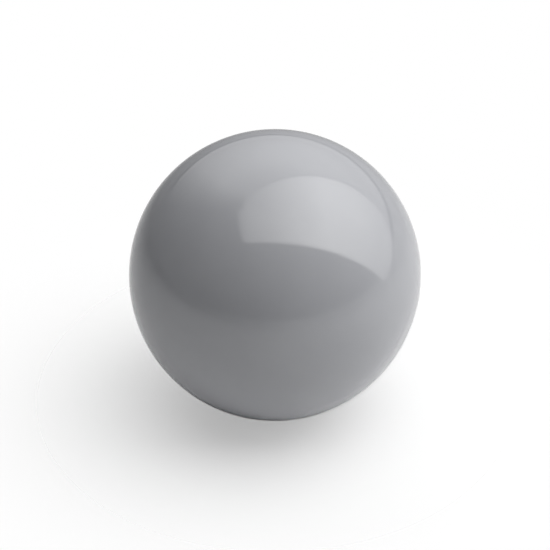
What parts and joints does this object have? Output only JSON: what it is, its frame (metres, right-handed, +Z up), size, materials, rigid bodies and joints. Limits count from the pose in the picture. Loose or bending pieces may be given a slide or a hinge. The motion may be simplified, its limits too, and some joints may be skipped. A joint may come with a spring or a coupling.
{
  "type": "cue ball",
  "caption": "Plain glossy grey cue ball, turned in layers: polished resin shell, iron-filled layer a ball return can feel, solid resin core, and two flush locating pins.",
  "frame": {"origin": "centre of the ball", "axes": "+Z up, away from the cloth the ball rests on; the X axis runs through both locating pins, and every piece is turned about it"},
  "size_m": [0.0572, 0.0572, 0.0572],
  "materials": {
    "polished_resin": "polished",
    "iron_filled_resin": "matte",
    "core_resin": "matte"
  },
  "bodies": {
    "root": {"outer_shell": "polished_resin", "locating_pin_right": "polished_resin", "locating_pin_left": "polished_resin", "magnetic_layer": "iron_filled_resin", "resin_core": "core_resin"}
  },
  "joints": []
}
